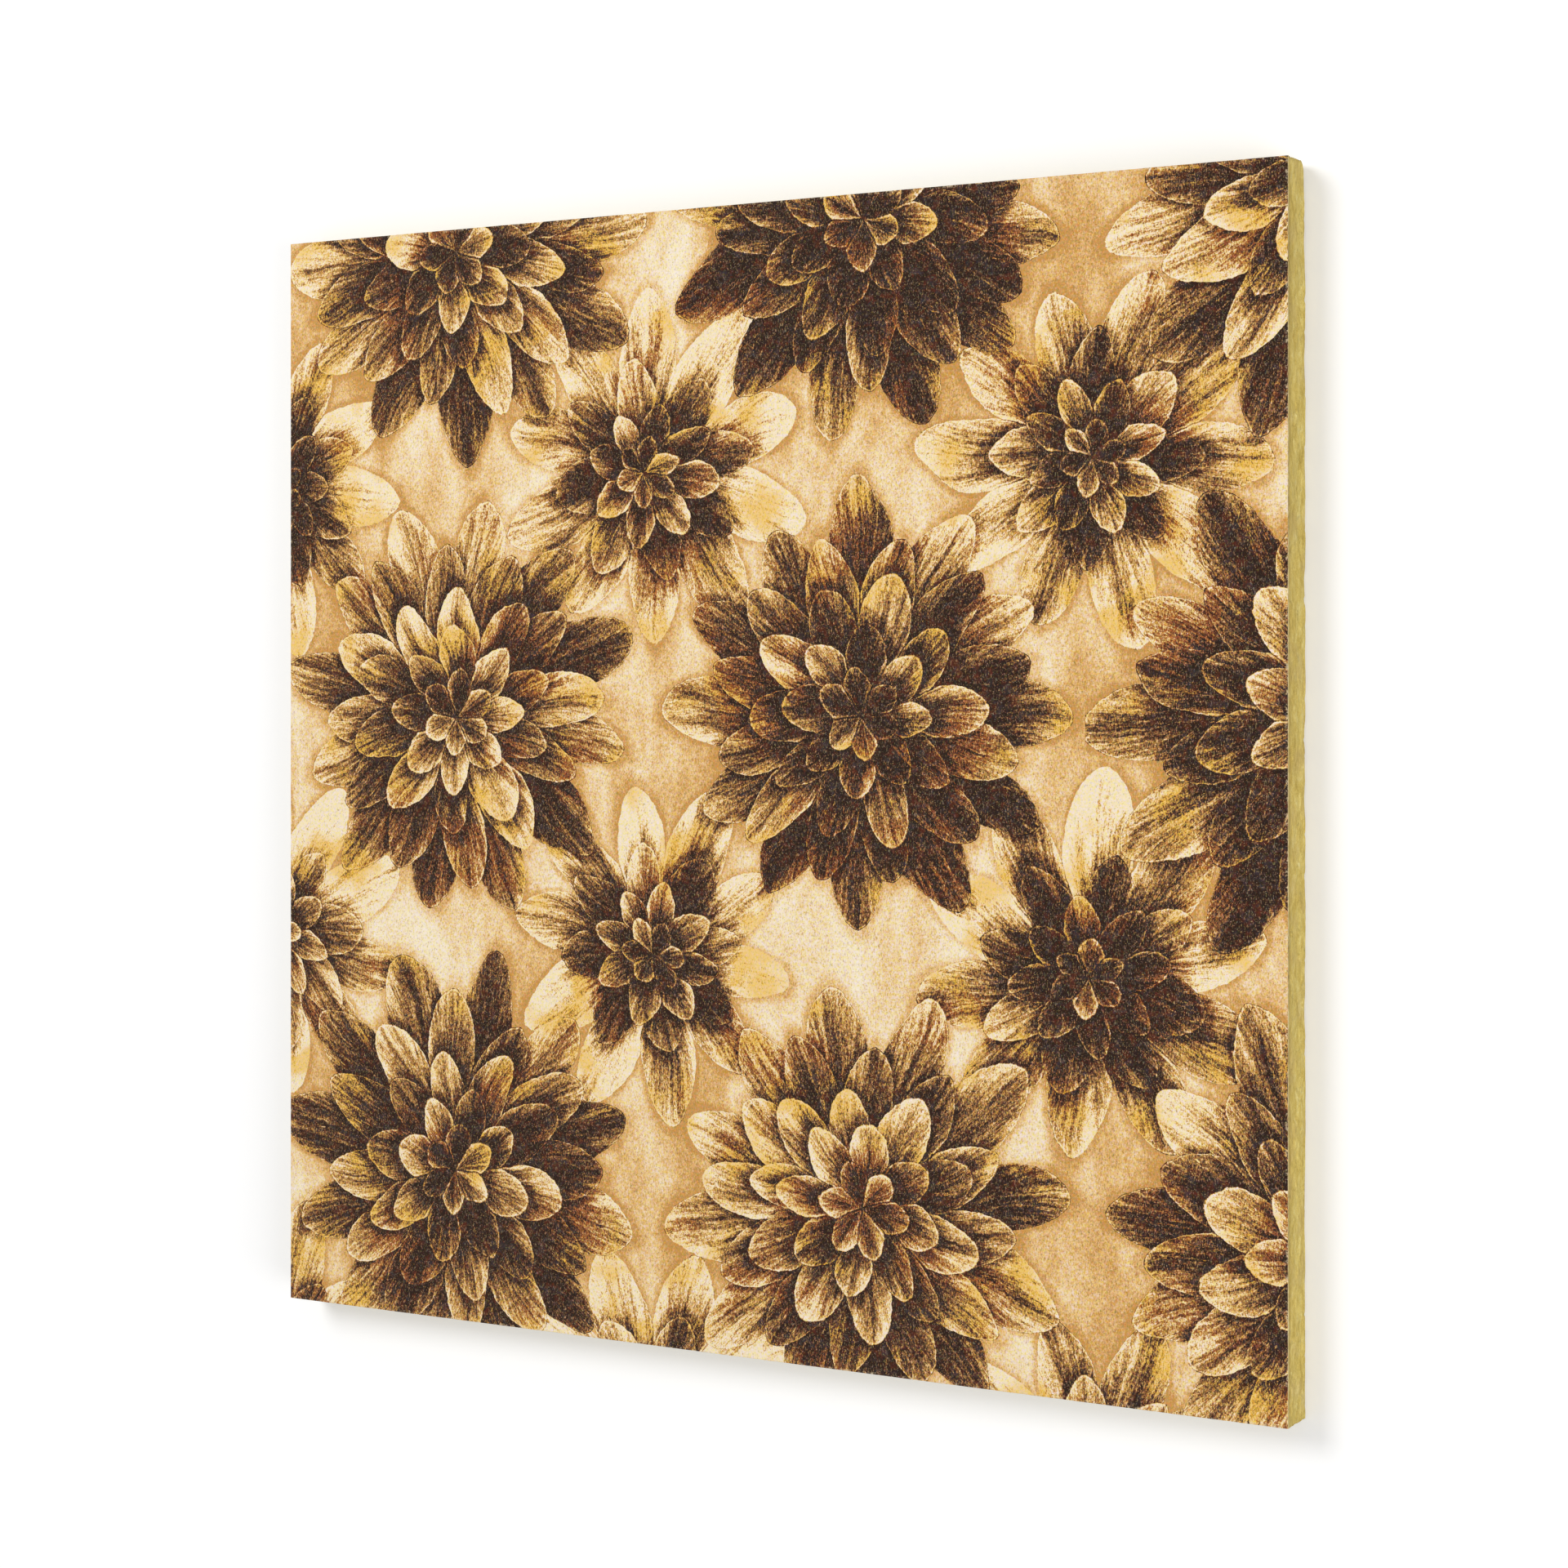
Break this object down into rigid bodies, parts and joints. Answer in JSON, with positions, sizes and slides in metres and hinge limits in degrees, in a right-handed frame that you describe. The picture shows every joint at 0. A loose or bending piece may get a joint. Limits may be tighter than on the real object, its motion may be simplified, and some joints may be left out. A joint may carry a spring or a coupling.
{
  "type": "acoustic ceiling tile",
  "caption": "Square lay-in acoustic ceiling tile: a mineral wool board with square-cut edges and a printed woven facing over its front.",
  "frame": {"origin": "centre of the tile's back face, which lies on the floor", "axes": "+Z out of the printed front, +Y up the print, +X to the print's right"},
  "size_m": [0.595, 0.595, 0.025],
  "materials": {
    "mineral_wool": "matte fibrous, square-cut",
    "printed_cloth": "matte woven, printed in browns and golds on cream"
  },
  "bodies": {
    "root": {"wool_board": "mineral_wool", "printed_facing": "printed_cloth"}
  },
  "joints": []
}
